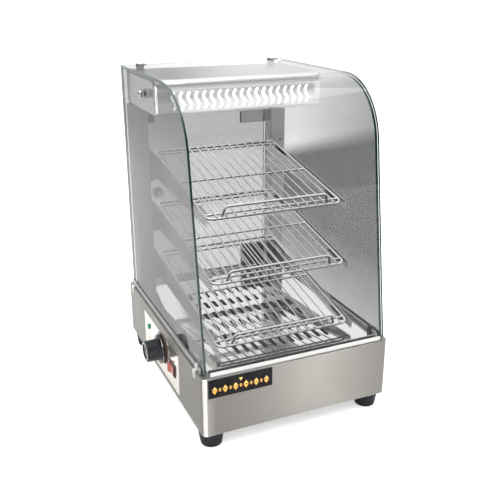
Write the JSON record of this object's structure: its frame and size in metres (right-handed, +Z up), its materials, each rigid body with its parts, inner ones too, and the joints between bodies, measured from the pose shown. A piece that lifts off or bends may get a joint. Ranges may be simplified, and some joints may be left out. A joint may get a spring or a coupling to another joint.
{
  "type": "hot food display case",
  "caption": "Countertop hot food display case with a bent glass front, sloping wire shelves, a lit hood, a heated slotted deck and a pivoted glass rear door.",
  "frame": {"origin": "under the middle of the base, on the plane the feet rest on", "axes": "+Z up, -Y out of the bent glass front, +X to the right of a person facing the front"},
  "size_m": [0.3966, 0.4682, 0.603],
  "materials": {
    "steel_brushed": "brushed stainless sheet",
    "steel_mirror": "bright rolled stainless sheet",
    "chrome_wire": "bright chrome-plated wire",
    "polished_fittings": "polished steel fittings",
    "aluminium_trim": "satin extruded aluminium",
    "clear_glass": "clear tempered glass with dark teal edges",
    "black_rubber": "matt black rubber",
    "black_plastic": "fine-textured black plastic",
    "red_rocker": "translucent red plastic",
    "green_lens": "translucent green plastic",
    "label_print": "printed cream film",
    "badge_black": "black printed plate with amber bars",
    "diffuser_white": "lit opal acrylic",
    "lamp_glass": "white fluorescent tube",
    "white_plastic": "white moulded plastic",
    "galvanised": "galvanised sheet with fine spangle",
    "element_sheath": "heat-tinted element sheath",
    "wire_red": "silicone-insulated wires"
  },
  "bodies": {
    "case": {"base_shell": "steel_brushed", "base_bottom_plate": "galvanised", "rubber_feet": "black_rubber", "foot_screws": "polished_fittings", "deck_plate": "steel_mirror", "heat_tray": "galvanised", "heating_element": "element_sheath", "element_brackets": "galvanised", "control_label": "label_print", "thermostat_body": "black_plastic", "thermostat_bulb": "polished_fittings", "rocker_switch_body": "black_plastic", "indicator_lens": "green_lens", "indicator_body": "black_plastic", "front_badge": "badge_black", "cord_gland": "black_plastic", "terminal_block": "white_plastic", "internal_wiring": "wire_red", "front_glass": "clear_glass", "glass_channel_front": "aluminium_trim", "glass_corner_clips": "polished_fittings", "top_rear_clips": "polished_fittings", "clip_pads": "black_rubber", "clip_screws": "polished_fittings", "glass_cap_screws": "polished_fittings", "glass_washers": "black_rubber", "hood_shell": "steel_brushed", "sign_diffuser": "diffuser_white", "lamp_tube": "lamp_glass", "lamp_holders": "white_plastic", "door_pivot_pins": "polished_fittings", "door_catch": "black_plastic", "rear_post_left": "steel_brushed", "side_glass_left": "clear_glass", "glass_channel_left": "aluminium_trim", "hood_end_left": "steel_brushed", "lower_bracket_left": "steel_brushed", "middle_bracket_left": "steel_brushed", "upper_bracket_left": "steel_brushed", "rear_post_right": "steel_brushed", "side_glass_right": "clear_glass", "glass_channel_right": "aluminium_trim", "hood_end_right": "steel_brushed", "lower_bracket_right": "steel_brushed", "middle_bracket_right": "steel_brushed", "upper_bracket_right": "steel_brushed"},
    "door": {"door_glass": "clear_glass", "door_hinge_patches": "polished_fittings", "door_knob": "polished_fittings", "door_knob_screw": "polished_fittings", "door_strike": "polished_fittings"},
    "thermostat_dial": {"thermostat_knob": "black_plastic", "thermostat_shaft": "polished_fittings"},
    "power_rocker": {"rocker_switch_button": "red_rocker"},
    "lower_rack": {"lower_shelf": "chrome_wire", "lower_shelf_guard": "chrome_wire"},
    "middle_rack": {"middle_shelf": "chrome_wire", "middle_shelf_guard": "chrome_wire"},
    "upper_rack": {"upper_shelf": "chrome_wire", "upper_shelf_guard": "chrome_wire"}
  },
  "joints": [
    {"name": "door_hinge", "type": "hinge", "parent": "case", "child": "door", "pos_m": [0.115, 0.208, 0.146], "axis": [0, 0, -1], "range_deg": [0, 110]},
    {"name": "thermostat_turn", "type": "hinge", "parent": "case", "child": "thermostat_dial", "pos_m": [-0.18, -0.001, 0.0895], "axis": [1, 0, 0], "range_deg": [0, 280]},
    {"name": "rocker_tip", "type": "hinge", "parent": "case", "child": "power_rocker", "pos_m": [-0.1783, -0.066, 0.08], "axis": [0, 0, -1], "range_deg": [0, 16]},
    {"name": "lower_shelf_lift", "type": "slide", "parent": "case", "child": "lower_rack", "axis": [0, 0, 1], "range_m": [0, 0.03]},
    {"name": "middle_shelf_lift", "type": "slide", "parent": "case", "child": "middle_rack", "axis": [0, 0, 1], "range_m": [0, 0.03]},
    {"name": "upper_shelf_lift", "type": "slide", "parent": "case", "child": "upper_rack", "axis": [0, 0, 1], "range_m": [0, 0.03]}
  ]
}
